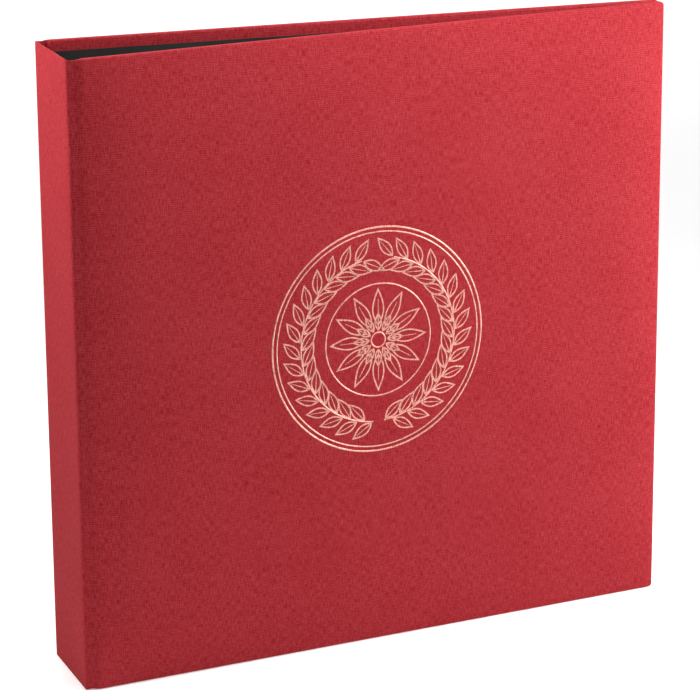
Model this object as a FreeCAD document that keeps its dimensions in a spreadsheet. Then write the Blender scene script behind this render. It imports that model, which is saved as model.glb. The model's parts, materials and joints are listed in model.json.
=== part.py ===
# Ring-binder stamp album in red book cloth: two hinged cover boards, a spine, a four-ring
# mechanism on the inside of the spine and stock leaves on the rings.
# Frame: the album stands on Z = 0, the spine faces -X, the front cover is on the -Y side.
import FreeCAD, Part
import math
import os
import Sketcher

doc = FreeCAD.newDocument("stamp_album")

# Driving dimensions, in millimetres and degrees
SIZES = (
    ("album_length", 250.0, "spine face to fore edge"),
    ("album_height", 245.0, "overall height"),
    ("spine_width", 41.0, "over the cloth of the spine"),
    ("spine_bevel", 0.9, "slope of the spine board's long sides"),
    ("board", 2.2, "grey board of covers and spine"),
    ("cloth", 0.35, "book cloth"),
    ("lining", 0.25, "black lining paper"),
    ("turn_in", 15.0, "cloth turned over the board edges"),
    ("lining_margin", 4.3, "turn-in left showing round the lining"),
    ("corner_radius", 1.2, "fore-edge corners of the boards"),
    ("hinge_depth", 1.5, "hinge axis behind the spine face"),
    ("hinge_inset", 0.3, "hinge axis inside the spine's side"),
    ("cover_start", 5.3, "hinge axis to the edge of the cover board"),
    ("cover_rise", 1.15, "cover's outer face beyond the hinge axis"),
    ("fore_gap", 0.8, "between the two linings at the fore edge"),
    ("groove_depth", 1.0, "dip of the cloth in the hinge groove"),
    ("groove_drop", 0.3, "hinge cloth below the board edges"),
    ("groove_margin", 2.0, "spine lining short of the spine's sides"),
    ("seam_gap", 0.2, "clearance between a hinge strip and its cover"),
    ("ring_radius", 12.5, "centre line of the closed rings"),
    ("ring_wire", 2.6, "diameter of the ring wire"),
    ("ring_height", 14.5, "ring centre above the spine lining"),
    ("ring_turn", 127.0, "arc of each half ring from its tip"),
    ("ring_pitch_middle", 65.0, "spacing of the two middle rings"),
    ("ring_pitch_outer", 45.0, "middle ring to outer ring"),
    ("tip_point", 1.1, "length of the pointed ring tip"),
    ("tip_width", 1.5, "root of the pointed ring tip"),
    ("tip_flat", 0.4, "blunt end of the pointed ring tip"),
    ("tip_gap", 0.1, "clearance between the two ring tips"),
    ("base_length", 180.0, "arched part of the mechanism's base"),
    ("base_width", 21.0, "outside of the base"),
    ("base_wall", 2.6, "upright side of the base"),
    ("base_height", 6.0, "top of the arch"),
    ("base_sheet", 0.8, "sheet steel of the base"),
    ("base_lip", 2.2, "lip turned in under a blade"),
    ("tab_length", 12.0, "flat rivet tab beyond each end of the arch"),
    ("tab_overlap", 2.0, "tab under the end of the arch"),
    ("tab_corner", 6.0, "rounded corners of the tab"),
    ("slot_clearance", 0.4, "room beside a ring wire in its slot"),
    ("slot_inner", 5.6, "inner end of a wire slot from the middle"),
    ("blade_end_gap", 3.0, "blade short of each end of the arch"),
    ("blade_sheet", 0.9, "blade thickness"),
    ("blade_lift", 0.2, "blade above the lip"),
    ("blade_gap", 0.2, "blade's inner edge from the middle"),
    ("blade_side_gap", 0.5, "blade's outer edge to the base wall"),
    ("rivet_shank", 3.6, "rivet diameter"),
    ("rivet_hole_gap", 0.1, "room round the shank"),
    ("rivet_head", 7.0, "rivet head diameter"),
    ("rivet_sunk", 0.7, "flat head let into the spine board"),
    ("rivet_dome", 1.3, "height of the closed head"),
    ("leaf_setback", 21.25, "leaf short of the fore edge"),
    ("leaf_margin", 10.0, "leaf short of the covers' head and foot"),
    ("leaf_card", 0.35, "black leaf card"),
    ("leaf_film", 0.1, "clear strip film"),
    ("leaf_pitch", 0.85, "leaf to leaf in the closed album"),
    ("leaf_corner", 3.0, "rounded leaf corner"),
    ("hole_diameter", 7.0, "punched hole"),
    ("hole_margin", 7.0, "hole centre from the binding edge"),
    ("hole_offset", 1.6, "hole centre outside the ring's centre line"),
    ("strip_start", 22.0, "strips from the binding edge"),
    ("strip_end", 5.0, "strips short of the outer edge"),
    ("strip_margin", 8.5, "strips from the leaf's head and foot"),
    ("strip_gap", 8.0, "bare card between two strips"),
)
STRIP_ROWS = 6
LEAVES = 4
WIRE_FACETS = 8

sheet = doc.addObject("Spreadsheet::Sheet", "dim")
for row, (alias, size, meaning) in enumerate(SIZES, start=1):
    sheet.set(f"A{row}", alias)
    sheet.set(f"B{row}", str(size))
    sheet.set(f"C{row}", meaning)
    sheet.setAlias(f"B{row}", alias)
doc.recompute()


def size(alias):
    return float(sheet.get(alias))


def value(expression):
    """The number that an expression on the sheet gives, angles in degrees."""
    return float(sheet.evalExpression(str(expression)))


# Places that several pieces share, as expressions on the sheet
SPINE_FACE = "(-dim.album_length / 2)"
SPINE_BOARD_FACE = f"({SPINE_FACE} + dim.cloth)"
SPINE_BOARD_BACK = f"({SPINE_BOARD_FACE} + dim.board)"
SPINE_INSIDE = f"({SPINE_BOARD_BACK} + dim.cloth + dim.lining)"
MID_HEIGHT = "(dim.album_height / 2)"
SPINE_BOARD_WIDTH = "(dim.spine_width - 2 * dim.cloth)"
SPINE_LINING_WIDTH = f"({SPINE_BOARD_WIDTH} - 2 * dim.groove_margin)"
BOARD_TOP = "(dim.album_height - dim.cloth)"
LINING_TOP = "(dim.album_height - dim.lining_margin)"
COVER_BOARD_FACE = "(dim.cover_rise - dim.cloth)"
COVER_BOARD_BACK = f"({COVER_BOARD_FACE} - dim.board)"
COVER_TURN_IN = f"({COVER_BOARD_BACK} - dim.cloth)"
COVER_INSIDE = f"({COVER_TURN_IN} - dim.lining)"
COVER_EDGE = "(dim.cover_start - dim.lining)"
HINGE_Y = "(dim.spine_width / 2 - dim.hinge_inset)"
COVER_REACH = "(dim.album_length - dim.hinge_depth)"
COVER_LEAN = f"atan(({HINGE_Y} + {COVER_INSIDE} - dim.fore_gap / 2) / {COVER_REACH})"
COVER_END = f"(({COVER_REACH} - dim.cover_rise * sin({COVER_LEAN})) / cos({COVER_LEAN}))"
BLADE_LENGTH = "(dim.base_length - 2 * dim.blade_end_gap)"
BLADE_FOOT = "(dim.base_sheet + dim.blade_lift)"
BLADE_TOP = f"({BLADE_FOOT} + dim.blade_sheet)"
BLADE_OUTER = "(dim.base_width / 2 - dim.base_sheet - dim.blade_side_gap)"
RING_OFFSETS = (
    "(-dim.ring_pitch_middle / 2 - dim.ring_pitch_outer)",
    "(-dim.ring_pitch_middle / 2)",
    "(dim.ring_pitch_middle / 2)",
    "(dim.ring_pitch_middle / 2 + dim.ring_pitch_outer)",
)
RIVET_OFFSET = "(dim.base_length / 2 + dim.tab_length / 2)"
HOLE_RADIUS_FROM_RING = "(dim.ring_radius + dim.hole_offset)"
LEAF_EDGE = f"({SPINE_INSIDE} + dim.ring_height + {HOLE_RADIUS_FROM_RING} - dim.hole_margin)"
LEAF_WIDTH = f"(dim.album_length / 2 - dim.leaf_setback - {LEAF_EDGE})"
LEAF_HEIGHT = "(dim.album_height - 2 * dim.leaf_margin)"
STRIP_PITCH = f"(({LEAF_HEIGHT} - 2 * dim.strip_margin + dim.strip_gap) / {STRIP_ROWS})"
SIDES = (("front", -1), ("back", 1))

nodes = {}


def bind(item, **expressions):
    """Bind properties to the sheet; a double underscore stands for a dot in the property's path."""
    for path, expression in expressions.items():
        item.setExpression(path.replace("__", "."), str(expression))
    return item


def keep(node, item):
    """Make a finished piece a node of the album."""
    item.Label = node
    nodes[node] = item
    return item


def place(item, x="0", y="0", z="0"):
    return bind(item, Placement__Base__x=x, Placement__Base__y=y, Placement__Base__z=z)


def block(name, x, y, z):
    """A box between pairs of expressions along X, Y and Z."""
    item = doc.addObject("Part::Box", name)
    length, width, height = (f"({high}) - ({low})" for low, high in (x, y, z))
    bind(item, Length=length, Width=width, Height=height)
    return place(item, x[0], y[0], z[0])


def slab(name, side, u, v, z):
    """A box in a cover's own frame: u from the hinge along the board, v outwards from the hinge."""
    y = v if side > 0 else (f"-({v[1]})", f"-({v[0]})")
    return block(name, u, y, z)


def bevelled(name, x, half_width, z):
    """A bar along Z whose long sides slope in by the spine's bevel, widest at its low X."""
    item = doc.addObject("Part::Wedge", name)
    item.Placement.Rotation = FreeCAD.Rotation(FreeCAD.Vector(0, 0, 1), -90)
    narrow = f"({half_width} - dim.spine_bevel)"
    bind(item, Xmin=f"-({half_width})", Xmax=half_width, X2min=f"-{narrow}", X2max=narrow)
    bind(item, Ymin="0", Ymax=f"({x[1]}) - ({x[0]})")
    bind(item, Zmin=z[0], Zmax=z[1], Z2min=z[0], Z2max=z[1])
    return place(item, x[0])


def cut(name, base, tool):
    item = doc.addObject("Part::Cut", name)
    item.Base = base
    item.Tool = tool
    return item


def fuse(name, shapes):
    item = doc.addObject("Part::MultiFuse", name)
    item.Shapes = shapes
    item.Refine = True
    return item


def group(name, shapes):
    item = doc.addObject("Part::Compound", name)
    item.Links = shapes
    return item


def rod(name, diameter, x_low, x_high, z):
    """A round bar along X at height z."""
    item = doc.addObject("Part::Cylinder", name)
    item.Placement.Rotation = FreeCAD.Rotation(FreeCAD.Vector(0, 1, 0), 90)
    bind(item, Radius=f"({diameter}) / 2", Height=f"({x_high}) - ({x_low})")
    return place(item, x_low, "0", z)


def round_fore_corners(name, base, radius):
    """Round the two corners of a board or its cloth at the end away from the hinge."""
    doc.recompute()
    end = base.Shape.BoundBox.XMax
    picked = []
    for number, edge in enumerate(base.Shape.Edges, start=1):
        box = edge.BoundBox
        if abs(box.XMin - end) < 1e-6 and box.ZLength < 1e-6 and box.YLength > 1e-3:
            picked.append((number, radius, radius))
    item = doc.addObject("Part::Fillet", name)
    item.Base = base
    item.Edges = picked
    return item


def hang_on_hinge(item, side):
    """Turn a cover piece to its closed lean and set it on its hinge axis."""
    bind(item, Placement__Rotation__Angle=f"{-side} * {COVER_LEAN}")
    return place(item, f"{SPINE_FACE} + dim.hinge_depth", f"{side} * {HINGE_Y}")


# Sketch helpers for the bodies
def new_body(name):
    return doc.addObject("PartDesign::Body", name)


def new_sketch(body, name, role):
    sketch = body.newObject("Sketcher::SketchObject", name)
    plane = [item for item in body.Origin.OriginFeatures if item.Role == role][0]
    sketch.AttachmentSupport = [(plane, "")]
    sketch.MapMode = "FlatFace"
    return sketch


def vector(x, y):
    return FreeCAD.Vector(x, y, 0)


def constrain(sketch, expression, *definition):
    """Add a dimension and bind it to the sheet."""
    number = sketch.addConstraint(Sketcher.Constraint(*definition))
    sketch.setExpression(f"Constraints[{number}]", expression)


def relate(sketch, *definition):
    sketch.addConstraint(Sketcher.Constraint(*definition))


def sketch_rectangle(sketch, low, high):
    """A rectangle between two corners, each a pair of expressions."""
    x0, y0 = (value(text) for text in low)
    x1, y1 = (value(text) for text in high)
    corners = [vector(x0, y0), vector(x1, y0), vector(x1, y1), vector(x0, y1)]
    first = sketch.GeometryCount
    for number in range(4):
        sketch.addGeometry(Part.LineSegment(corners[number], corners[(number + 1) % 4]))
    for number in range(4):
        relate(sketch, "Coincident", first + number, 2, first + (number + 1) % 4, 1)
    for number, way in enumerate(("Horizontal", "Vertical", "Horizontal", "Vertical")):
        relate(sketch, way, first + number)
    constrain(sketch, low[0], "DistanceX", -1, 1, first, 1, x0)
    constrain(sketch, low[1], "DistanceY", -1, 1, first, 1, y0)
    constrain(sketch, high[0], "DistanceX", -1, 1, first + 2, 1, x1)
    constrain(sketch, high[1], "DistanceY", -1, 1, first + 2, 1, y1)


def pad(body, name, sketch, length):
    item = body.newObject("PartDesign::Pad", name)
    item.Profile = sketch
    item.SideType = "Symmetric"
    return bind(item, Length=length)


# Covers: grey board, book cloth turned in over three edges, black lining
def cover_blank(name, side, grow, start):
    """The outline of a cover board with rounded fore corners, grown by the cloth round it."""
    u = (start, f"{COVER_END} - dim.cloth + {grow}")
    v = (f"{COVER_BOARD_BACK} - {grow}", f"{COVER_BOARD_FACE} + {grow}")
    z = (f"dim.cloth - {grow}", f"{BOARD_TOP} + {grow}")
    blank = slab(f"{name}_blank", side, u, v, z)
    return round_fore_corners(name, blank, size("corner_radius") + value(grow))


def make_cover(name, side):
    keep(f"{name}_board", hang_on_hinge(cover_blank(f"{name}_board", side, "0", "dim.cover_start"), side))

    wrap = cover_blank(f"{name}_wrap", side, "dim.cloth", COVER_EDGE)
    core = cover_blank(f"{name}_core", side, "0", COVER_EDGE)
    window = slab(
        f"{name}_window",
        side,
        (COVER_EDGE, f"{COVER_END} - dim.turn_in"),
        (COVER_TURN_IN, COVER_BOARD_BACK),
        ("dim.turn_in", "dim.album_height - dim.turn_in"),
    )
    cloth = cut(f"{name}_cloth", wrap, fuse(f"{name}_cloth_inside", [core, window]))
    keep(f"{name}_cloth", hang_on_hinge(cloth, side))

    sheet_of_lining = slab(
        f"{name}_lining_sheet",
        side,
        (COVER_EDGE, f"{COVER_END} - dim.lining_margin"),
        (COVER_INSIDE, COVER_TURN_IN),
        ("dim.lining_margin", LINING_TOP),
    )
    filler = slab(
        f"{name}_lining_filler",
        side,
        (COVER_EDGE, f"{COVER_END} - dim.turn_in"),
        (COVER_TURN_IN, COVER_BOARD_BACK),
        ("dim.turn_in", "dim.album_height - dim.turn_in"),
    )
    edge = slab(
        f"{name}_lining_edge",
        side,
        (COVER_EDGE, "dim.cover_start"),
        (COVER_BOARD_BACK, COVER_BOARD_FACE),
        ("dim.turn_in", "dim.album_height - dim.turn_in"),
    )
    lining = fuse(f"{name}_lining", [sheet_of_lining, filler, edge])
    keep(f"{name}_lining", hang_on_hinge(lining, side))


# Hinges: the cloth and the lining dip into a groove between spine and cover
def groove_strip(side, top, thickness, low, high):
    """A curved strip from the spine's edge to the cover's edge, top and thickness counted inwards."""
    hinge_x = value(f"{SPINE_FACE} + dim.hinge_depth")
    hinge_y = value(HINGE_Y)
    lean = math.radians(value(COVER_LEAN))
    along = value(f"{COVER_EDGE} - dim.seam_gap")
    spine_x = value(SPINE_BOARD_BACK)

    def points(inset):
        start = (spine_x, size("spine_width") / 2 - size("spine_bevel") - inset)
        rise = size("cover_rise") - inset
        end_x = hinge_x + along * math.cos(lean) + rise * math.sin(lean)
        end_y = hinge_y - along * math.sin(lean) + rise * math.cos(lean)
        middle = ((start[0] + end_x) / 2, (start[1] + end_y) / 2 - size("groove_depth"))
        return [FreeCAD.Vector(x, side * y, low) for x, y in (start, middle, (end_x, end_y))]

    outer = points(top)
    inner = points(top + thickness)
    edges = [
        Part.Arc(*outer).toShape(),
        Part.LineSegment(outer[2], inner[2]).toShape(),
        Part.Arc(*reversed(inner)).toShape(),
        Part.LineSegment(inner[0], outer[0]).toShape(),
    ]
    return Part.Face(Part.Wire(edges)).extrude(FreeCAD.Vector(0, 0, high - low))


def make_hinge(name, side):
    low = size("groove_drop")
    high = size("album_height") - size("groove_drop")
    cloth = doc.addObject("Part::Feature", f"{name}_hinge_cloth")
    cloth.Shape = groove_strip(side, 0.0, size("cloth"), low, high)
    keep(f"{name}_hinge_cloth", cloth)

    margin = size("lining_margin")
    lining = doc.addObject("Part::Feature", f"{name}_hinge_lining")
    lining.Shape = groove_strip(side, size("cloth"), size("lining"), margin, size("album_height") - margin)
    keep(f"{name}_hinge_lining", lining)


# Spine: board let in for the rivet heads, cloth round all four edges, lining
def make_spine():
    half_board = f"({SPINE_BOARD_WIDTH} / 2)"
    half_lining = f"({SPINE_LINING_WIDTH} / 2)"
    half_cloth = "(dim.spine_width / 2)"
    rivet_hole = "dim.rivet_shank + 2 * dim.rivet_hole_gap"
    recess = "dim.rivet_head + 2 * dim.rivet_hole_gap"

    def board_blank(name):
        return bevelled(name, (SPINE_BOARD_FACE, SPINE_BOARD_BACK), half_board, ("dim.cloth", BOARD_TOP))

    drills = []
    for number, sign in enumerate("-+", start=1):
        z = f"{MID_HEIGHT} {sign} {RIVET_OFFSET}"
        drills.append(rod(f"spine_drill_{number}", rivet_hole, SPINE_FACE, SPINE_INSIDE, z))
        sunk = f"{SPINE_BOARD_FACE} + dim.rivet_sunk"
        drills.append(rod(f"spine_recess_{number}", recess, SPINE_FACE, sunk, z))
    keep("spine_board", cut("spine_board", board_blank("spine_board_blank"), fuse("spine_drills", drills)))

    shell = cut(
        "spine_shell",
        bevelled("spine_wrap", (SPINE_FACE, SPINE_BOARD_BACK), half_cloth, ("0", "dim.album_height")),
        board_blank("spine_core"),
    )
    turn_x = (SPINE_BOARD_BACK, f"{SPINE_BOARD_BACK} + dim.cloth")
    across = (f"-{half_lining}", half_lining)
    foot = block("spine_turn_in_foot", turn_x, across, ("0", "dim.turn_in"))
    head = block(
        "spine_turn_in_head", turn_x, across, ("dim.album_height - dim.turn_in", "dim.album_height")
    )
    holes = []
    for number, sign in enumerate("-+", start=1):
        z = f"{MID_HEIGHT} {sign} {RIVET_OFFSET}"
        past_lining = f"{SPINE_INSIDE} + dim.lining"
        holes.append(rod(f"inside_drill_{number}", rivet_hole, SPINE_BOARD_FACE, past_lining, z))
    inside_drills = fuse("inside_drills", holes)
    turned_in = fuse("spine_cloth_blank", [shell, foot, head])
    keep("spine_cloth", cut("spine_cloth", turned_in, inside_drills))

    lining_sheet = block(
        "spine_lining_sheet",
        (f"{SPINE_BOARD_BACK} + dim.cloth", SPINE_INSIDE),
        across,
        ("dim.lining_margin", LINING_TOP),
    )
    filler = block(
        "spine_lining_filler", turn_x, across, ("dim.turn_in", "dim.album_height - dim.turn_in")
    )
    lining = fuse("spine_lining_blank", [lining_sheet, filler])
    keep("spine_lining", cut("spine_lining", lining, inside_drills))


# Ring mechanism, built on the spine's inside with its own origin at mid-height
def on_spine(item, z="0"):
    return place(item, SPINE_INSIDE, "0", f"{MID_HEIGHT} + {z}")


def arched_bar(name, half_width, foot, crown):
    """A bar along Z with upright sides up to the base's wall height and an arched top."""
    half_length = "dim.base_length / 2"
    along = (f"-{half_length}", half_length)
    across = (f"-({half_width})", half_width)
    sides = block(f"{name}_sides", (foot, "dim.base_wall"), across, along)
    rise = f"({crown} - dim.base_wall)"
    radius = f"((({half_width})^2 + {rise}^2) / (2 * {rise}))"
    round_bar = doc.addObject("Part::Cylinder", f"{name}_round")
    bind(round_bar, Radius=radius, Height="dim.base_length")
    place(round_bar, f"{crown} - {radius}", "0", along[0])
    top_space = block(f"{name}_top_space", ("dim.base_wall", crown), across, along)
    top = doc.addObject("Part::MultiCommon", f"{name}_top")
    top.Shapes = [round_bar, top_space]
    return fuse(name, [sides, top])


def make_base():
    """Arched sheet-steel base with lips under the blades, wire slots and a rivet tab at each end."""
    half_inside = "dim.base_width / 2 - dim.base_sheet"
    half_mouth = f"({half_inside} - dim.base_lip)"
    half_length = "dim.base_length / 2"
    outside = arched_bar("base_outside", "dim.base_width / 2", "0", "dim.base_height")
    inside = arched_bar("base_inside", half_inside, "dim.base_sheet", "(dim.base_height - dim.base_sheet)")
    mouth = block(
        "base_mouth",
        ("0", "dim.base_sheet"),
        (f"-{half_mouth}", half_mouth),
        (f"-{half_length}", half_length),
    )
    half_slot = "(dim.ring_wire / 2 + dim.slot_clearance)"
    hollows = [inside, mouth]
    for name, side in SIDES:
        for number, offset in enumerate(RING_OFFSETS, start=1):
            y = ("dim.slot_inner", "dim.base_width / 2 + dim.base_sheet")
            if side < 0:
                y = (f"-({y[1]})", f"-({y[0]})")
            x = ("dim.base_wall", "dim.base_height + dim.base_sheet")
            z = (f"{offset} - {half_slot}", f"{offset} + {half_slot}")
            hollows.append(block(f"{name}_slot_{number}", x, y, z))
    arch = cut("base_arch", outside, fuse("base_hollows", hollows))
    tabs = [make_tab(number, sign) for number, sign in enumerate((-1, 1), start=1)]
    keep("ring_base", on_spine(fuse("ring_base", [arch] + tabs)))


def make_tab(number, sign):
    """Flat end of the base with two rounded corners and a rivet hole."""
    z = ["dim.base_length / 2 - dim.tab_overlap", "dim.base_length / 2 + dim.tab_length"]
    if sign < 0:
        z = [f"-({z[1]})", f"-({z[0]})"]
    y = ("-dim.base_width / 2", "dim.base_width / 2")
    blank = block(f"base_tab_blank_{number}", ("0", "dim.base_sheet"), y, z)
    doc.recompute()
    limits = blank.Shape.BoundBox
    end = limits.ZMax if sign > 0 else limits.ZMin
    corners = []
    for index, edge in enumerate(blank.Shape.Edges, start=1):
        box = edge.BoundBox
        if abs(box.Center.z - end) < 1e-6 and box.YLength < 1e-6 and box.ZLength < 1e-6:
            corners.append((index, size("tab_corner"), size("tab_corner")))
    rounded = doc.addObject("Part::Fillet", f"base_tab_{number}")
    rounded.Base = blank
    rounded.Edges = corners
    hole = rod(
        f"base_tab_hole_{number}",
        "dim.rivet_shank + 2 * dim.rivet_hole_gap",
        "-dim.base_sheet",
        "2 * dim.base_sheet",
        f"{sign} * {RIVET_OFFSET}",
    )
    return cut(f"base_tab_drilled_{number}", rounded, hole)


def make_rivets():
    rivets = []
    for number, sign in enumerate((-1, 1), start=1):
        z = f"{sign} * {RIVET_OFFSET}"
        board_face = "(-dim.lining - dim.cloth - dim.board)"
        head = rod(
            f"rivet_head_{number}", "dim.rivet_head", board_face, f"{board_face} + dim.rivet_sunk", z
        )
        shank = rod(f"rivet_shank_{number}", "dim.rivet_shank", board_face, "dim.base_sheet", z)
        dome = doc.addObject("Part::Cone", f"rivet_dome_{number}")
        dome.Placement.Rotation = FreeCAD.Rotation(FreeCAD.Vector(0, 1, 0), 90)
        bind(dome, Radius1="dim.rivet_head / 2", Radius2="dim.rivet_shank / 2", Height="dim.rivet_dome")
        place(dome, "dim.base_sheet", "0", z)
        rivets.append(fuse(f"base_rivet_{number}", [head, shank, dome]))
    keep("base_rivets", on_spine(group("base_rivets", rivets)))


def make_blade(name, side):
    body = new_body(f"{name}_blade")
    profile = new_sketch(body, f"{name}_blade_section", "XY_Plane")
    inner = f"{side} * dim.blade_gap"
    outer = f"{side} * {BLADE_OUTER}"
    low, high = (outer, inner) if side < 0 else (inner, outer)
    sketch_rectangle(profile, (BLADE_FOOT, low), (BLADE_TOP, high))
    pad(body, f"{name}_blade_pad", profile, BLADE_LENGTH)
    keep(f"{name}_blade", on_spine(body))


def ring_path(label, side):
    """Centre line of a half ring: an arc from the tip, then a straight leg down past the blade's top."""
    turn = math.radians(size("ring_turn"))
    radius = size("ring_radius")
    centre = size("ring_height")
    tip = vector(centre + radius, 0)
    quarter = vector(centre, side * radius)
    bend = vector(centre + radius * math.cos(turn), side * radius * math.sin(turn))
    foot_x = f"{BLADE_TOP} - dim.ring_wire"
    leg = (bend.x - value(foot_x)) / math.sin(turn)
    foot = bend + vector(-math.sin(turn), side * math.cos(turn)) * leg

    path = doc.addObject("Sketcher::SketchObject", f"{label}_path")
    path.addGeometry(Part.Arc(tip, quarter, bend))
    path.addGeometry(Part.LineSegment(bend, foot))
    tip_end, bend_end = (1, 2) if side > 0 else (2, 1)
    relate(path, "PointOnObject", 0, 3, -1)
    relate(path, "PointOnObject", 0, tip_end, -1)
    relate(path, "Tangent", 0, bend_end, 1, 1)
    constrain(path, "dim.ring_radius", "Radius", 0, radius)
    constrain(path, "dim.ring_height", "DistanceX", -1, 1, 0, 3, centre)
    bend_x = "dim.ring_height + dim.ring_radius * cos(dim.ring_turn * 1 deg)"
    constrain(path, bend_x, "DistanceX", -1, 1, 1, 1, bend.x)
    constrain(path, foot_x, "DistanceX", -1, 1, 1, 2, foot.x)
    return path


def ring_point(label, grow):
    """Four-sided point of a ring tip, or its socket when it is grown by the clearance."""
    point = doc.addObject("Part::Wedge", f"{label}_point")
    root = f"(dim.tip_width / 2 + {grow})"
    end = f"(dim.tip_flat / 2 + {grow})"
    bind(point, Xmin=f"-{root}", Xmax=root, Zmin=f"-{root}", Zmax=root)
    bind(point, X2min=f"-{end}", X2max=end, Z2min=f"-{end}", Z2max=end)
    bind(point, Ymin="0", Ymax=f"dim.tip_point + 2 * {grow}")
    return place(point, "dim.ring_height + dim.ring_radius")


def make_half_ring(name, side, number, offset):
    """Wire bent to an arc with a straight leg that runs down to the blade."""
    label = f"{name}_half_ring_{number}"
    section = doc.addObject("Part::RegularPolygon", f"{label}_section")
    section.Polygon = WIRE_FACETS
    section.Placement.Rotation = FreeCAD.Rotation(FreeCAD.Vector(1, 0, 0), 90)
    place(bind(section, Circumradius="dim.ring_wire / 2"), "dim.ring_height + dim.ring_radius")
    wire = doc.addObject("Part::Sweep", f"{label}_wire")
    wire.Sections = [section]
    wire.Spine = (ring_path(label, side), ["Edge1", "Edge2"])
    wire.Solid = True

    if side < 0:
        tipped = fuse(f"{label}_tipped", [wire, ring_point(label, "0")])
    else:
        face = block(
            f"{label}_tip_gap",
            ("dim.ring_height", "dim.ring_height + dim.ring_radius + dim.ring_wire"),
            ("-dim.tip_gap", "dim.tip_gap"),
            ("-dim.ring_wire", "dim.ring_wire"),
        )
        socket = fuse(f"{label}_socket", [ring_point(label, "dim.tip_gap"), face])
        tipped = cut(f"{label}_tipped", wire, socket)

    below = block(
        f"{label}_below_blade",
        (f"{BLADE_TOP} - 2 * dim.ring_wire", BLADE_TOP),
        ("-dim.base_width", "dim.base_width"),
        ("-dim.ring_wire", "dim.ring_wire"),
    )
    keep(label, on_spine(cut(label, tipped, below), offset))


# Leaves: black card with four punched holes and rows of clear strips on both faces
def make_leaf(number):
    row = f"({number} - {(LEAVES + 1) / 2})"
    y = f"{row} * dim.leaf_pitch"
    body = new_body(f"leaf_{number}_card")
    outline = new_sketch(body, f"leaf_{number}_outline", "XZ_Plane")
    sketch_rectangle(outline, ("0", "0"), (LEAF_WIDTH, LEAF_HEIGHT))
    for offset in RING_OFFSETS:
        height = f"{LEAF_HEIGHT} / 2 + {offset}"
        x = size("hole_margin")
        z = value(height)
        hole = outline.addGeometry(
            Part.Circle(vector(x, z), FreeCAD.Vector(0, 0, 1), size("hole_diameter") / 2)
        )
        constrain(outline, "dim.hole_diameter / 2", "Radius", hole, size("hole_diameter") / 2)
        constrain(outline, "dim.hole_margin", "DistanceX", -1, 1, hole, 3, x)
        constrain(outline, height, "DistanceY", -1, 1, hole, 3, z)
    card = pad(body, f"leaf_{number}_pad", outline, "dim.leaf_card")
    doc.recompute()
    corners = []
    for index, edge in enumerate(card.Shape.Edges, start=1):
        box = edge.BoundBox
        across = box.XLength < 1e-6 and box.ZLength < 1e-6
        if across and abs(box.XMax - card.Shape.BoundBox.XMax) < 1e-6:
            corners.append(f"Edge{index}")
    rounded = body.newObject("PartDesign::Fillet", f"leaf_{number}_corners")
    rounded.Base = (card, corners)
    bind(rounded, Radius="dim.leaf_corner")
    keep(f"leaf_{number}_card", place(body, LEAF_EDGE, y, "dim.leaf_margin"))

    strips = []
    for side in (-1, 1):
        face = ("dim.leaf_card / 2", "dim.leaf_card / 2 + dim.leaf_film")
        depth = face if side > 0 else (f"-({face[1]})", f"-({face[0]})")
        for step in range(STRIP_ROWS):
            low = f"dim.strip_margin + {step} * {STRIP_PITCH}"
            strips.append(
                block(
                    f"leaf_{number}_strip_{len(strips) + 1}",
                    ("dim.strip_start", f"{LEAF_WIDTH} - dim.strip_end"),
                    depth,
                    (low, f"{low} + {STRIP_PITCH} - dim.strip_gap"),
                )
            )
    films = group(f"leaf_{number}_strips", strips)
    keep(f"leaf_{number}_strips", place(films, LEAF_EDGE, y, "dim.leaf_margin"))


make_spine()
for cover_name, cover_side in SIDES:
    make_cover(cover_name, cover_side)
    make_hinge(cover_name, cover_side)
make_base()
make_rivets()
for half_name, half_side in SIDES:
    make_blade(half_name, half_side)
    for ring_number, ring_offset in enumerate(RING_OFFSETS, start=1):
        make_half_ring(half_name, half_side, ring_number, ring_offset)
for leaf_number in range(1, LEAVES + 1):
    make_leaf(leaf_number)
doc.recompute()

# Every object and every finished solid is checked before anything is written
for item in doc.Objects:
    if "Invalid" in item.State or "Error" in item.State:
        raise RuntimeError(f"{item.Label} did not build: {item.State}")
for node, item in nodes.items():
    shape = item.Shape
    if shape.isNull() or not shape.isValid() or not shape.Solids:
        raise RuntimeError(f"{node} is not a sound solid")

os.makedirs("parts", exist_ok=True)
for node, item in nodes.items():
    item.Shape.exportStep(f"parts/{node}.step")
print(f"{len(nodes)} pieces written")
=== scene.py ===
# %% [markdown]
# # A cloth-covered ring album
# The album is a case of three grey boards under one skin of red linen cloth, with a ring mechanism
# and black stock leaves inside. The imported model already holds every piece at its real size, so this
# lesson only dresses it. We load it first and never move or change what it brings.

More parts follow.
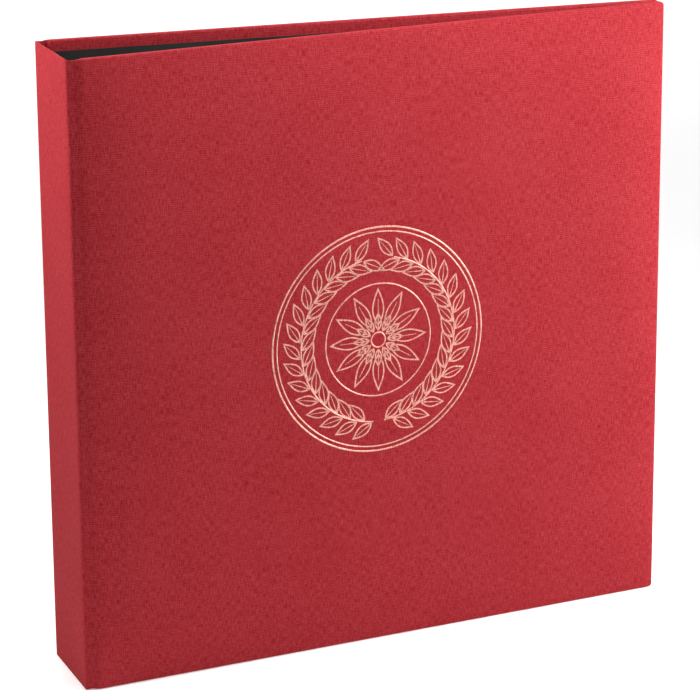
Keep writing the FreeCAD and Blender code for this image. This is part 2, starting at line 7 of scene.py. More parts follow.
# %% The frame
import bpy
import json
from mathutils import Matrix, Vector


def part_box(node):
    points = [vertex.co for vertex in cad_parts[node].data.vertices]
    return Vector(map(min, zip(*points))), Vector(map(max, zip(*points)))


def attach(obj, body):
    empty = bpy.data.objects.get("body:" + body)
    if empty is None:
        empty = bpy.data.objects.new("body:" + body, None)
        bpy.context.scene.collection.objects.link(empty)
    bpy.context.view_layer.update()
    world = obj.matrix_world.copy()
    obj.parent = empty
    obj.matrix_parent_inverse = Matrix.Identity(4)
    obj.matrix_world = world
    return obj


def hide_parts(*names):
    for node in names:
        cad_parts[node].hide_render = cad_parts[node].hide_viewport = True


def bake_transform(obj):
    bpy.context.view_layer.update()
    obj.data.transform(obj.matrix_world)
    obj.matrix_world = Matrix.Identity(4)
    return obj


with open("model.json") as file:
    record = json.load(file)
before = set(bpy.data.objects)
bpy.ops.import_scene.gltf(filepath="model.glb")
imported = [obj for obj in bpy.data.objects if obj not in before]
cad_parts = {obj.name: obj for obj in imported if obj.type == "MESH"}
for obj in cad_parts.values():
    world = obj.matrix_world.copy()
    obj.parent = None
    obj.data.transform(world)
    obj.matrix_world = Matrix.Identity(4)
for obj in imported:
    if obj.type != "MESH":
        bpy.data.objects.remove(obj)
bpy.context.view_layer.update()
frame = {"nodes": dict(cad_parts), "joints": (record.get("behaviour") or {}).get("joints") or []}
print("pieces in the frame:", len(frame["nodes"]))

# %% [markdown]
# Every place below is read from the frame. The hinge axes come from the joints. The covers lean
# towards each other at the fore edge, and the widest face of a cover board tells us by how much.
# In a cover's own frame u runs from the hinge along the board, v points outwards and z points up.

# %% Sizes read from the frame
import json
import math

import bmesh
import bpy
import numpy as np
from mathutils import Matrix, Vector

MM = 0.001
FRONT = -1
BACK = 1
SIDE_NAMES = {FRONT: "front", BACK: "back"}

joints = {joint["name"]: joint for joint in frame["joints"]}
HINGE_X, HINGE_Y, MID_HEIGHT = joints["back_cover_hinge"]["pos_m"]
widest = max(frame["nodes"]["back_board"].data.polygons, key=lambda face: face.area)
LEAN = math.atan2(abs(widest.normal.x), abs(widest.normal.y))

spine_low, spine_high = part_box("spine_cloth")
SPINE_FACE = spine_low.x
SPINE_TURN_IN = spine_high.x
HALF_SPINE = spine_high.y
HEIGHT = spine_high.z


def cover_span(node):
    """Lowest and highest u and v of a piece on the back cover."""
    points = np.array([vertex.co for vertex in frame["nodes"][node].data.vertices])
    along = points[:, 0] - HINGE_X
    out = points[:, 1] - HINGE_Y
    u = along * math.cos(LEAN) - out * math.sin(LEAN)
    v = along * math.sin(LEAN) + out * math.cos(LEAN)
    return u.min(), u.max(), v.min(), v.max()


COVER_START, COVER_END, COVER_TURN_IN, COVER_FACE = cover_span("back_cloth")
COVER_INSIDE = cover_span("back_lining")[2]
print(f"lean {math.degrees(LEAN):.2f} degrees, cover {COVER_START / MM:.2f} to {COVER_END / MM:.2f} mm")


def cover_plan(u, v):
    """Plan position of a point on a cover: x, and the distance out from the album's middle."""
    x = HINGE_X + u * math.cos(LEAN) + v * math.sin(LEAN)
    return x, HINGE_Y - u * math.sin(LEAN) + v * math.cos(LEAN)


# %% [markdown]
# ## Camera
# The photograph was taken with a long lens from the spine's side, a little above the album. The
# angles, the distance and the lens were worked out from the corners of the covers and the spine.
# The three axes of the camera go straight into its matrix, so the small roll needs no extra object.

# %% Camera
VIEW_AZIMUTH = math.radians(-21.58)
VIEW_ELEVATION = math.radians(16.63)
VIEW_ROLL = math.radians(-0.41)
VIEW_DISTANCE = 1.2494
VIEW_TARGET = Vector((-0.00751, 0.0, 0.11673))
LENS = 164.5

scene = bpy.context.scene


def make_camera():
    flat = math.cos(VIEW_ELEVATION)
    back = Vector((math.sin(VIEW_AZIMUTH) * flat, -math.cos(VIEW_AZIMUTH) * flat, math.sin(VIEW_ELEVATION)))
    level = Vector((0, 0, 1)).cross(back).normalized()
    upright = back.cross(level)
    right = level * math.cos(VIEW_ROLL) + upright * math.sin(VIEW_ROLL)
    up = upright * math.cos(VIEW_ROLL) - level * math.sin(VIEW_ROLL)
    data = bpy.data.cameras.new("photo_camera")
    data.lens = LENS
    camera = bpy.data.objects.new("photo_camera", data)
    scene.collection.objects.link(camera)
    place = VIEW_TARGET + back * VIEW_DISTANCE
    camera.matrix_world = Matrix.Translation(place) @ Matrix((right, up, back)).transposed().to_4x4()
    return camera


scene.camera = make_camera()
print("camera at", [round(value, 3) for value in scene.camera.location])

# %% [markdown]
# ## Light and floor
# The album stands in soft studio light on a pale floor. A large lamp above and to the right lights
# the front cover, a second one on the left lights the spine, and the walls of the room stay dim so
# that the cloth keeps its shading. The plain view transform keeps the red as strong as it is.

# %% Light and floor
FLOOR_SIZE = 8.0
FLOOR_DROP = 0.2 * MM
FLOOR_GLOW = 0.28
ROOM_LIGHT = 0.0
LAMPS = (
    # name, place, aimed at, size, power
    ("right_lamp", (0.33, -0.13, 0.34), (0.10, -0.02, 0.18), 0.20, 1.17),
    ("low_right_lamp", (0.42, -0.14, 0.24), (0.08, -0.02, 0.14), 0.20, 1.76),
    ("head_lamp", (0.02, -0.11, 0.42), (0.02, -0.02, 0.15), 0.15, 0.62),
    ("left_lamp", (-0.34, 0.04, 0.38), (-0.12, 0.0, 0.2), 0.20, 1.5),
    ("floor_lamp", (0.2, 0.9, 1.2), (0.0, 0.3, 0.0), 1.0, 3.0),
    ("backdrop_lamp", (0.3, 2.3, 1.4), (0.3, 1.5, 0.0), 1.2, 42.0),
)


def make_lamp(name, place, aim, size, power):
    data = bpy.data.lights.new(name, "AREA")
    data.size = size
    data.energy = power
    lamp = bpy.data.objects.new(name, data)
    scene.collection.objects.link(lamp)
    lamp.location = place
    lamp.rotation_euler = (Vector(aim) - Vector(place)).to_track_quat("-Z", "Y").to_euler()


def make_room():
    world = bpy.data.worlds.new("studio")
    world.use_nodes = True
    world.node_tree.nodes["Background"].inputs["Color"].default_value = (1, 1, 1, 1)
    world.node_tree.nodes["Background"].inputs["Strength"].default_value = ROOM_LIGHT
    scene.world = world
    scene.view_settings.view_transform = "Standard"
    for lamp in LAMPS:
        make_lamp(*lamp)


make_room()
print("lamps:", len(LAMPS))

# %% [markdown]
# ## Finishes
# A finish is a small tree of shader nodes. Three helpers keep the trees readable: one adds a node
# with its settings, one does sums on sockets, and one starts a material with a shader whose plain
# values are set on its own sockets.

# %% Shader helpers
def add_node(tree, kind, **settings):
    node = tree.nodes.new(kind)
    for key, value in settings.items():
        setattr(node, key, value)
    return node


def feed(tree, socket, value):
    """Put a number on a socket, or link another socket to it."""
    if isinstance(value, bpy.types.NodeSocket):
        tree.links.new(value, socket)
    else:
        socket.default_value = value


def sums(tree, operation, *values):
    node = add_node(tree, "ShaderNodeMath", operation=operation)
    for socket, value in zip(node.inputs, values):
        feed(tree, socket, value)
    return node.outputs[0]


def new_finish(name, **plain):
    """A material with one shader; plain holds the values that are the same all over."""
    finish = bpy.data.materials.new(name)
    finish.use_nodes = True
    shader = finish.node_tree.nodes["Principled BSDF"]
    for socket, value in plain.items():
        shader.inputs[socket.replace("_", " ")].default_value = value
    return finish, finish.node_tree, shader


def noise(tree, vector, scale, detail=2.0, roughness=0.5):
    node = add_node(tree, "ShaderNodeTexNoise", noise_dimensions="3D")
    feed(tree, node.inputs["Vector"], vector)
    node.inputs["Scale"].default_value = scale
    node.inputs["Detail"].default_value = detail
    node.inputs["Roughness"].default_value = roughness
    return node.outputs["Fac"]


def stretched(tree, vector, sizes):
    """Coordinates divided by the size of a feature along each axis."""
    node = add_node(tree, "ShaderNodeMapping")
    feed(tree, node.inputs["Vector"], vector)
    node.inputs["Scale"].default_value = [1 / size for size in sizes]
    return node.outputs["Vector"]


def shade(tree, amount, low, high, dark, pale):
    """Colours between dark and pale as the amount goes from low to high."""
    ramp = add_node(tree, "ShaderNodeValToRGB")
    feed(tree, ramp.inputs["Fac"], amount)
    for element, place, colour in zip(ramp.color_ramp.elements, (low, high), (dark, pale)):
        element.position = place
        element.color = (*colour, 1)
    return ramp.outputs["Color"]


def bump(tree, shader, height, depth, strength=1.0):
    node = add_node(tree, "ShaderNodeBump")
    feed(tree, node.inputs["Height"], height)
    node.inputs["Distance"].default_value = depth
    node.inputs["Strength"].default_value = strength
    tree.links.new(node.outputs["Normal"], shader.inputs["Normal"])


def object_place(tree):
    return add_node(tree, "ShaderNodeTexCoord").outputs["Object"]


def cloth_place(tree):
    return add_node(tree, "ShaderNodeUVMap", uv_map="cloth").outputs["UV"]


# %% [markdown]
# ### Linen book cloth
# Linen is a plain weave of uneven threads: short thick stretches, called slubs, show as streaks
# along the warp and along the weft. A picture of cloth would repeat, so the weave is worked out
# from the cloth's own coordinates in metres. Two stretched noises are the slubs, two waves at the
# thread pitch are the threads, and a broad noise clouds the dye a little. The colour follows the
# height of the weave, so besides the threads' own uneven colour it holds painted shade in the
# hollows between threads and a painted glint on their tops.

# %% Linen book cloth
THREAD_PITCH = 0.41 * MM
SLUB_LENGTH = 2.8 * MM
SLUB_WIDTH = 0.38 * MM
WEFT_SHARE = 0.42
DYE_CLOUD = 30 * MM
# The dark colour is the dark threads plus painted shade in the hollows between threads; the pale one is the pale
# threads plus a painted glint on the thread tops.
CLOTH_DARK_AND_SHADE = (0.243, 0.0035, 0.0065)
CLOTH_PALE_AND_GLINT = (0.445, 0.056, 0.068)


def weave(tree):
    """Height of the cloth from 0 to 1, and the share of it that the slubs make."""
    place = cloth_place(tree)
    weft = noise(tree, stretched(tree, place, (SLUB_LENGTH, SLUB_WIDTH, 1)), 1.0, 2.0, 0.6)
    warp = noise(tree, stretched(tree, place, (SLUB_WIDTH, SLUB_LENGTH, 1)), 1.0, 2.0, 0.6)
    slubs = sums(tree, "MULTIPLY_ADD", weft, WEFT_SHARE, sums(tree, "MULTIPLY", warp, 1 - WEFT_SHARE))
    axes = add_node(tree, "ShaderNodeSeparateXYZ")
    feed(tree, axes.inputs[0], place)
    turn = math.pi / THREAD_PITCH
    across = sums(tree, "SINE", sums(tree, "MULTIPLY", axes.outputs["X"], turn))
    along = sums(tree, "SINE", sums(tree, "MULTIPLY", axes.outputs["Y"], turn))
    crossing = sums(tree, "MULTIPLY", along, sums(tree, "MULTIPLY_ADD", across, 0.75, 0.25))
    threads = sums(tree, "MULTIPLY_ADD", crossing, 0.5, 0.5)
    height = sums(tree, "MULTIPLY_ADD", threads, 0.24, sums(tree, "MULTIPLY", slubs, 0.76))
    return height, slubs


def make_linen():
    finish, tree, shader = new_finish("linen_book_cloth", Roughness=0.8, Specular_IOR_Level=0.05)
    height, slubs = weave(tree)
    cloud = noise(tree, cloth_place(tree), 1 / DYE_CLOUD, 3.0)
    # The colour follows the weave's height: painted shade in its hollows and a painted glint on its tops, over the
    # threads' own uneven colour.
    tone = sums(tree, "MULTIPLY_ADD", cloud, 0.06, sums(tree, "MULTIPLY", height, 0.94))
    feed(tree, shader.inputs["Base Color"], shade(tree, tone, 0.38, 0.68, CLOTH_DARK_AND_SHADE, CLOTH_PALE_AND_GLINT))
    bump(tree, shader, height, 0.13 * MM, 0.7)
    return finish


LINEN = make_linen()
print("finish:", LINEN.name)

# %% [markdown]
# ### Lining paper, board, card, film and steel
# The other finishes read Object coordinates, because these pieces lie still in the album's frame.
# The lining is a black paper with a fine tooth, the boards are grey pulp with fibres, the leaves are
# smooth black card, the strips are clear film and the ring mechanism is nickel-plated steel with
# the fine lines of rolling along it.

# %% Papers, film and steel
def make_lining():
    finish, tree, shader = new_finish("black_lining_paper", Roughness=0.85, Specular_IOR_Level=0.3)
    tooth = noise(tree, object_place(tree), 1 / (0.35 * MM), 3.0, 0.6)
    cloud = noise(tree, object_place(tree), 1 / (18 * MM), 2.0)
    tone = sums(tree, "MULTIPLY_ADD", cloud, 0.4, sums(tree, "MULTIPLY", tooth, 0.6))
    dark, pale = (0.012, 0.0115, 0.011), (0.032, 0.031, 0.029)
    feed(tree, shader.inputs["Base Color"], shade(tree, tone, 0.3, 0.7, dark, pale))
    bump(tree, shader, tooth, 0.05 * MM, 0.5)
    return finish


def make_board():
    finish, tree, shader = new_finish("grey_pulp_board", Roughness=0.9)
    fibres = noise(tree, stretched(tree, object_place(tree), (4 * MM, 4 * MM, 0.5 * MM)), 1.0, 4.0, 0.7)
    dark, pale = (0.19, 0.18, 0.16), (0.36, 0.34, 0.30)
    feed(tree, shader.inputs["Base Color"], shade(tree, fibres, 0.3, 0.7, dark, pale))
    bump(tree, shader, fibres, 0.08 * MM, 0.4)
    return finish


def make_card():
    finish, tree, shader = new_finish("smooth_black_card", Specular_IOR_Level=0.35)
    grain = noise(tree, object_place(tree), 1 / (0.25 * MM), 2.0, 0.6)
    cloud = noise(tree, object_place(tree), 1 / (30 * MM), 2.0)
    dark, pale = (0.008, 0.008, 0.009), (0.022, 0.022, 0.023)
    feed(tree, shader.inputs["Base Color"], shade(tree, grain, 0.3, 0.7, dark, pale))
    feed(tree, shader.inputs["Roughness"], sums(tree, "MULTIPLY_ADD", cloud, 0.15, 0.52))
    bump(tree, shader, grain, 0.03 * MM, 0.4)
    return finish


def make_film():
    finish, tree, shader = new_finish("clear_strip_film", Transmission_Weight=1.0, IOR=1.46)
    feed(tree, shader.inputs["Base Color"], (0.97, 0.98, 0.98, 1))
    ripple = noise(tree, stretched(tree, object_place(tree), (40 * MM, 1.0, 9 * MM)), 1.0, 2.0)
    feed(tree, shader.inputs["Roughness"], sums(tree, "MULTIPLY_ADD", ripple, 0.05, 0.03))
    bump(tree, shader, ripple, 0.3 * MM, 0.3)
    return finish


def make_steel():
    finish, tree, shader = new_finish("rolled_nickel", Metallic=1.0)
    lines = noise(tree, stretched(tree, object_place(tree), (0.25 * MM, 0.25 * MM, 14 * MM)), 1.0, 3.0, 0.6)
    smudge = noise(tree, object_place(tree), 1 / (12 * MM), 3.0)
    dark, pale = (0.50, 0.49, 0.47), (0.72, 0.71, 0.69)
    feed(tree, shader.inputs["Base Color"], shade(tree, smudge, 0.3, 0.7, dark, pale))
    feed(tree, shader.inputs["Roughness"], sums(tree, "MULTIPLY_ADD", lines, 0.14, 0.16))
    bump(tree, shader, lines, 0.02 * MM, 0.3)
    return finish


LINING = make_lining()
BOARD = make_board()
CARD = make_card()
FILM = make_film()
STEEL = make_steel()
print("finishes:", [finish.name for finish in (LINING, BOARD, CARD, FILM, STEEL)])

# %% [markdown]
# ### Stamped foil
# The emblem is hot-stamped: a copper-coloured metal film is pressed into the weave, so the threads
# show through it and its gloss breaks up. The foil therefore reuses the weave of the cloth as its
# bump and as the pattern of its worn spots.

# %% Stamped foil
def make_foil():
    finish, tree, shader = new_finish("copper_foil", Metallic=0.5)
    height, slubs = weave(tree)
    dark, pale = (0.50, 0.17, 0.125), (0.84, 0.41, 0.33)
    feed(tree, shader.inputs["Base Color"], shade(tree, slubs, 0.40, 0.54, dark, pale))
    feed(tree, shader.inputs["Roughness"], sums(tree, "MULTIPLY_ADD", height, -0.2, 0.52))
    bump(tree, shader, height, 0.08 * MM, 0.5)
    return finish


FOIL = make_foil()
print("finish:", FOIL.name)

# %% [markdown]
# ### Floor
# The floor is a wide pale sheet that runs past the edges of the picture. It is staging and not part
# of the album.

# %% Floor
def make_floor():
    finish, tree, shader = new_finish(
        "pale_floor", Roughness=0.9, Specular_IOR_Level=0.1, Emission_Color=(1, 1, 1, 1), Emission_Strength=FLOOR_GLOW
    )
    grain = noise(tree, object_place(tree), 1 / (60 * MM), 2.0)
    feed(tree, shader.inputs["Base Color"], shade(tree, grain, 0.3, 0.7, (0.88, 0.88, 0.88), (0.9, 0.9, 0.9)))
    mesh = bpy.data.meshes.new("floor")
    half = FLOOR_SIZE / 2
    corners = [(-half, -half), (half, -half), (half, half), (-half, half)]
    mesh.from_pydata([(x, y, -FLOOR_DROP) for x, y in corners], [], [(0, 1, 2, 3)])
    mesh.materials.append(finish)
    floor = bpy.data.objects.new("floor", mesh)
    scene.collection.objects.link(floor)


make_floor()
print("floor", FLOOR_SIZE, "m wide")

# %% [markdown]
# ## Cloth of the case
# The cloth is one skin glued over the boards. It runs round the spine, dips into the groove at each
# hinge, lies flat on the cover and is turned in over every edge. A box with bevelled edges would
# lose the threads at the folds, so we follow the flat cut: a row of stations runs across the case,
# each with a plan point on the outside and its partner on the inside, and each station's thread goes
# over the board edge from one to the other. The cloth's coordinates are lengths on the flat cut.
# The skin is made in two parts that meet on the flat back side of the spine: the spine with the
# front cover, and the back cover.

# %% Stations across the case
EDGE_ROUND = 0.75 * MM
FOLD = 0.7 * MM
SPINE_CORNER = 1.6 * MM
SEAM = 1.65 * MM
SPINE_ROUND = 0.5 * MM
SPINE_BEVEL = SPINE_TURN_IN - SPINE_FACE - SPINE_ROUND
GROOVE_START = 1.7 * MM
GROOVE_DEPTH = 0.16 * MM
GROOVE_STEPS = 18
GROOVE_FLOOR = 0.2
GROOVE_RISE = 0.55
GROOVE_FADE = 36 * MM
GROOVE_AT_ENDS = 4.0
CROWN = 1.3 * MM
CROWN_SIDE = 22 * MM
CROWN_END = 30 * MM
HINGE_DROP = 0.25 * MM
COVER_STEP = 3 * MM
SPINE_STEPS = 12
ROUND_STEPS = 4
RIM = 4 * MM
TURN_IN = 15 * MM
CORNER = 1.55 * MM


class Station:
    """A thread of the cloth from foot to head: where it lies outside and inside, how far it dips
    towards the middle, how much of the board's inner edge is planed off, and its place on the cover."""

    def __init__(self, outer, inner, dip=0.0, bevel=0.0, u=None):
        self.outer = np.array(outer)
        self.inner = np.array(inner)
        self.dip = dip
        self.bevel = bevel
        self.u = u
        self.length = 0.0


def smooth_step(share):
    share = max(0.0, min(1.0, share))
    return share * share * (3 - 2 * share)


def spine_stations():
    """From the seam on the spine's back side round its face to the front side."""
    inner_edge = HALF_SPINE - FOLD
    row = [Station((SPINE_FACE + SEAM, -HALF_SPINE), (SPINE_TURN_IN, -inner_edge), -1.0, SPINE_BEVEL)]
    tuck = EDGE_ROUND / ROUND_STEPS
    for sign in (-1, 1):
        for step in range(ROUND_STEPS + 1):
            turn = math.pi / 2 * step / ROUND_STEPS
            if sign > 0:
                turn = math.pi / 2 - turn
            x = SPINE_FACE + SPINE_CORNER * (1 - math.sin(turn))
            out = HALF_SPINE - SPINE_CORNER * (1 - math.cos(turn))
            tucked = (step + 1) if sign < 0 else (ROUND_STEPS + 1 - step)
            inner = (SPINE_TURN_IN, sign * (inner_edge - tucked * tuck))
            dip = sign * smooth_step(1 - (tucked - 1) / ROUND_STEPS)
            row.append(Station((x, sign * out), inner, dip, SPINE_BEVEL))
        if sign < 0:
            reach = HALF_SPINE - SPINE_CORNER
            for out in np.linspace(-reach, reach, SPINE_STEPS + 1)[1:-1]:
                limit = inner_edge - (ROUND_STEPS + 2) * tuck
                inner = (SPINE_TURN_IN, max(-limit, min(limit, out)))
                row.append(Station((SPINE_FACE, out), inner, 0.0, SPINE_BEVEL))
    return row


def groove_stations():
    """From the spine's corner through the groove to the edge of the cover board."""
    start = np.array((SPINE_FACE + GROOVE_START, HALF_SPINE))
    end = np.array(cover_plan(COVER_START, COVER_FACE))
    board = COVER_FACE - COVER_TURN_IN
    row = []
    for step in range(GROOVE_STEPS + 1):
        share = step / GROOVE_STEPS
        point = start + (end - start) * share
        dip = 1 - smooth_step((share - GROOVE_FLOOR) / GROOVE_RISE)
        bevel = SPINE_BEVEL * (1 - smooth_step(share / GROOVE_FLOOR))
        wall = FOLD + (board - FOLD) * smooth_step((share - 0.4) / 0.6)
        inner = point - np.array((0, wall))
        row.append(Station(point, (max(inner[0], SPINE_TURN_IN), inner[1]), dip, bevel))
    return row


def cover_stations():
    """From the edge of the cover board to the rim at the fore edge."""
    last = COVER_END - RIM
    count = round((last - COVER_START) / COVER_STEP)
    row = []
    for u in [COVER_START + 0.3 * MM, *np.linspace(COVER_START, last, count + 1)[1:]]:
        row.append(Station(cover_plan(u, COVER_FACE), cover_plan(u, COVER_TURN_IN), u=u))
    return row


def measure(stations, start):
    """Give each station its length on the flat cut."""
    length = start
    for before, station in zip([stations[0], *stations], stations):
        length += np.linalg.norm(station.outer - before.outer)
        station.length = length
    return stations


front_stations = measure(spine_stations() + groove_stations() + cover_stations(), 0.0)
back_seam = ((SPINE_FACE + SEAM, HALF_SPINE), (SPINE_TURN_IN, HALF_SPINE - FOLD))
back_start = [Station(*back_seam, 1.0, SPINE_BEVEL)]
back_stations = measure(back_start + groove_stations() + cover_stations(), 0.0)
print("stations:", len(front_stations), "front and", len(back_stations), "back")

# %% [markdown]
# Now each station's thread becomes points. On the outside they stop a rim short of the edges, and a
# band goes on from there: round the outer corner of the board, over its edge, round the inner corner
# and down the inside. At the fore edge the same band turns the two rounded corners, and the fold
# there is a mitre, as a bookbinder cuts it.

# %% Wrapping the cloth
def wrap_profile(thickness, bevel=0.0):
    """The band's section as pairs of inset from the edge and depth from the outside."""
    radius = min(SPINE_ROUND if bevel else EDGE_ROUND, 0.45 * thickness)
    section = [(RIM, 0.0)]
    shares = [step / ROUND_STEPS for step in range(ROUND_STEPS + 1)]
    turns = [math.pi / 2 * share for share in shares]
    section += [(radius * (1 - math.sin(turn)), radius * (1 - math.cos(turn))) for turn in turns]
    if bevel:
        section += [(bevel * share, radius + (thickness - radius) * share) for share in shares]
    else:
        section += [(radius * (1 - math.cos(turn)), thickness - radius * (1 - math.sin(turn))) for turn in turns]
    section += [(inset, thickness) for inset in (RIM, TURN_IN / 2, TURN_IN)]
    return section


def band_lengths(section):
    steps = np.linalg.norm(np.diff(np.array(section), axis=0), axis=1)
    return np.concatenate(([0.0], np.cumsum(steps)))


def groove_at(station, z):
    """How far the thread lies in at a height: the turned-in ends draw the groove deeper."""
    fade = smooth_step(min(z, HEIGHT - z) / GROOVE_FADE)
    return station.dip * GROOVE_DEPTH * (GROOVE_AT_ENDS + (1 - GROOVE_AT_ENDS) * fade)


def ease(share):
    """From 0 at an edge to 1 at the flat, steepest at the edge."""
    return 1 - (1 - max(0.0, min(1.0, share))) ** 2


def crown_at(u, z):
    """How far the covered board swells at a place on the cover."""
    sides = ease((u - COVER_START) / CROWN_SIDE) * ease((COVER_END - u) / CROWN_SIDE)
    return CROWN * sides * ease(z / CROWN_END) * ease((HEIGHT - z) / CROWN_END)


def thread_point(station, z, depth, side):
    """A point of a station's thread, at a depth from the outside of the case."""
    across = station.inner - station.outer
    thickness = np.linalg.norm(across)
    inside = depth / thickness
    if station.u is not None:
        inside -= crown_at(station.u, z) / thickness * (1 - inside)
    plan = station.outer + across * inside
    return Vector((plan[0], side * (plan[1] - groove_at(station, z)), z))


def edge_rows(stations, end, side):
    """The band along the foot (end 0) or the head (end 1), with flat coordinates."""
    rows = []
    for station in stations:
        section = wrap_profile(np.linalg.norm(station.inner - station.outer), station.bevel)
        drop = HINGE_DROP * abs(station.dip)
        row = []
        for (inset, depth), length in zip(section, band_lengths(section)):
            up = drop + inset
            z = HEIGHT - up if end else up
            flat = HEIGHT - RIM + length if end else RIM - length
            row.append((thread_point(station, z, depth, side), (station.length, flat)))
        rows.append(row)
    return rows


def fore_rows(stations, side, heights):
    """The band round the two fore corners and along the fore edge, from foot to head."""
    section = wrap_profile(COVER_FACE - COVER_TURN_IN)
    lengths = band_lengths(section)
    cut = stations[-1].length
    ways = [(0.0, None)]
    ways += [(math.pi / 2 * step / ROUND_STEPS, None) for step in range(ROUND_STEPS + 1)]
    ways += [(math.pi / 2, z) for z in heights]
    ways += [(math.pi / 2 * (1 + step / ROUND_STEPS), None) for step in range(ROUND_STEPS + 1)]
    rows = []
    for turn, z in ways:
        row = []
        for (inset, depth), length in zip(section, lengths):
            if z is not None:
                u, height = COVER_END - inset, min(max(z, inset), HEIGHT - inset)
            else:
                head = turn > math.pi / 2 or len(rows) > ROUND_STEPS + 2
                reach = max(CORNER, inset)
                swing = reach - inset
                u = COVER_END - reach + swing * math.sin(turn)
                height = reach - swing * math.cos(turn)
                height = HEIGHT - reach - swing * math.cos(turn) if head else height
            raised = crown_at(u, height) * (1 - depth / section[-1][1])
            x, out = cover_plan(u, COVER_FACE - depth + raised)
            flat = (cut + length * math.sin(turn), height - length * math.cos(turn) * (z is None))
            row.append((Vector((x, side * out, height)), flat))
        rows.append(row)
    return rows


# %% [markdown]
# The faces are added strip by strip, each corner with its own flat coordinates, and then the points
# that fall together are merged. Solidify gives the skin its thickness on the inside.

# %% Cloth meshes
CLOTH = 0.35 * MM
ROW_STEP = 6 * MM


def add_strip(bm, layer, first, second):
    """Faces between two rows of (point, flat coordinates)."""
    for corner in range(len(first) - 1):
        loop = [first[corner], first[corner + 1], second[corner + 1], second[corner]]
        face = bm.faces.new([bm.verts.new(point) for point, flat in loop])
        face.smooth = True
        for part, (point, flat) in zip(face.loops, loop):
            part[layer].uv = flat


def make_case_cloth(name, stations, side, outward):
    """The cloth over a row of stations, closed round the fore edge."""
    bm = bmesh.new()
    layer = bm.loops.layers.uv.new("cloth")
    shares = np.linspace(0, 1, round(HEIGHT / ROW_STEP) + 1)
    grid = []
    for station in stations:
        low = RIM + HINGE_DROP * abs(station.dip)
        levels = [low + (HEIGHT - 2 * low) * share for share in shares]
        grid.append([(thread_point(station, z, 0.0, side), (station.length, z)) for z in levels])
    foot = edge_rows(stations, 0, side)
    head = edge_rows(stations, 1, side)
    heights = [RIM + (HEIGHT - 2 * RIM) * share for share in shares]
    fore = fore_rows(stations, side, heights)
    for rows in (grid, foot, head, [foot[-1], *fore, head[-1]]):
        for first, second in zip(rows, rows[1:]):
            add_strip(bm, layer, first, second)
    bmesh.ops.remove_doubles(bm, verts=bm.verts, dist=1e-7)
    bmesh.ops.recalc_face_normals(bm, faces=bm.faces)
    widest_face = max(bm.faces, key=lambda face: face.calc_area())
    if widest_face.normal.dot(outward) < 0:
        bmesh.ops.reverse_faces(bm, faces=bm.faces)
    mesh = bpy.data.meshes.new(name)
    bm.to_mesh(mesh)
    bm.free()
    mesh.materials.append(LINEN)
    return thicken(name, mesh, CLOTH)


def thicken(name, mesh, thickness):
    """A plain mesh object with the sheet's thickness on its inner side."""
    holder = bpy.data.objects.new(f"{name}_sheet", mesh)
    scene.collection.objects.link(holder)
    solid = holder.modifiers.new("thickness", "SOLIDIFY")
    solid.thickness = thickness
    solid.offset = -1
    solid.use_quality_normals = True
    evaluated = holder.evaluated_get(bpy.context.evaluated_depsgraph_get())
    piece = bpy.data.objects.new(name, bpy.data.meshes.new_from_object(evaluated))
    scene.collection.objects.link(piece)
    bpy.data.objects.remove(holder)
    return piece


cloth = {
    FRONT: make_case_cloth("front_case_cloth", front_stations, FRONT, Vector((0, FRONT, 0))),
    BACK: make_case_cloth("back_case_cloth", back_stations, BACK, Vector((0, BACK, 0))),
}
for piece in cloth.values():
    print(piece.name, len(piece.data.polygons), "faces")

# %% [markdown]
# The flat size is what a bookbinder would cut: the run across the case with the turn-in at the
# fore edge, by the height with two turn-ins.


def bend_on_hinge(piece):
    """Bake the strip's placement into its mesh."""
    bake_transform(piece)


def cut_size(stations):
    over_edge = band_lengths(wrap_profile(COVER_FACE - COVER_TURN_IN))[-1] - RIM
    width = stations[-1].length + RIM + over_edge
    height = HEIGHT + 2 * over_edge
    return width, height, width * height - over_edge ** 2


for side, stations in ((FRONT, front_stations), (BACK, back_stations)):
    name = SIDE_NAMES[side]
    piece = cloth[side]
    bend_on_hinge(piece)
    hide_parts(f"{name}_cloth", f"{name}_hinge_cloth")
    width, height, area = cut_size(stations)
    print(f"{piece.name}: cut {width / MM:.0f} by {height / MM:.0f} mm")
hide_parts("spine_cloth")

# %% [markdown]
# ## Lining of the hinges
# Inside the case a strip of the black lining covers each hinge and laps onto the lining of the spine
# and of the cover.

# %% Hinge linings
LINING_PAPER = 0.25 * MM
LINING_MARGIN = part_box("spine_lining")[0].z
LAP = 1.2 * MM
SPINE_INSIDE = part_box("spine_lining")[1].x
HALF_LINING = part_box("spine_lining")[1].y


def hinge_lining_path():
    """Plan points of the strip's inner face, from the spine's lining to the cover's."""
    path = [(SPINE_INSIDE + LINING_PAPER, HALF_LINING - LAP), (SPINE_INSIDE + LINING_PAPER, HALF_LINING)]
    for station in groove_stations()[8:-1]:
        plan = station.inner - np.array((0, LINING_PAPER + station.dip * GROOVE_DEPTH))
        path.append((plan[0] + LINING_PAPER, plan[1]))
    path.append(cover_plan(COVER_START - LINING_PAPER, COVER_INSIDE - LINING_PAPER))
    path.append(cover_plan(COVER_START + LAP, COVER_INSIDE - LINING_PAPER))
    return path


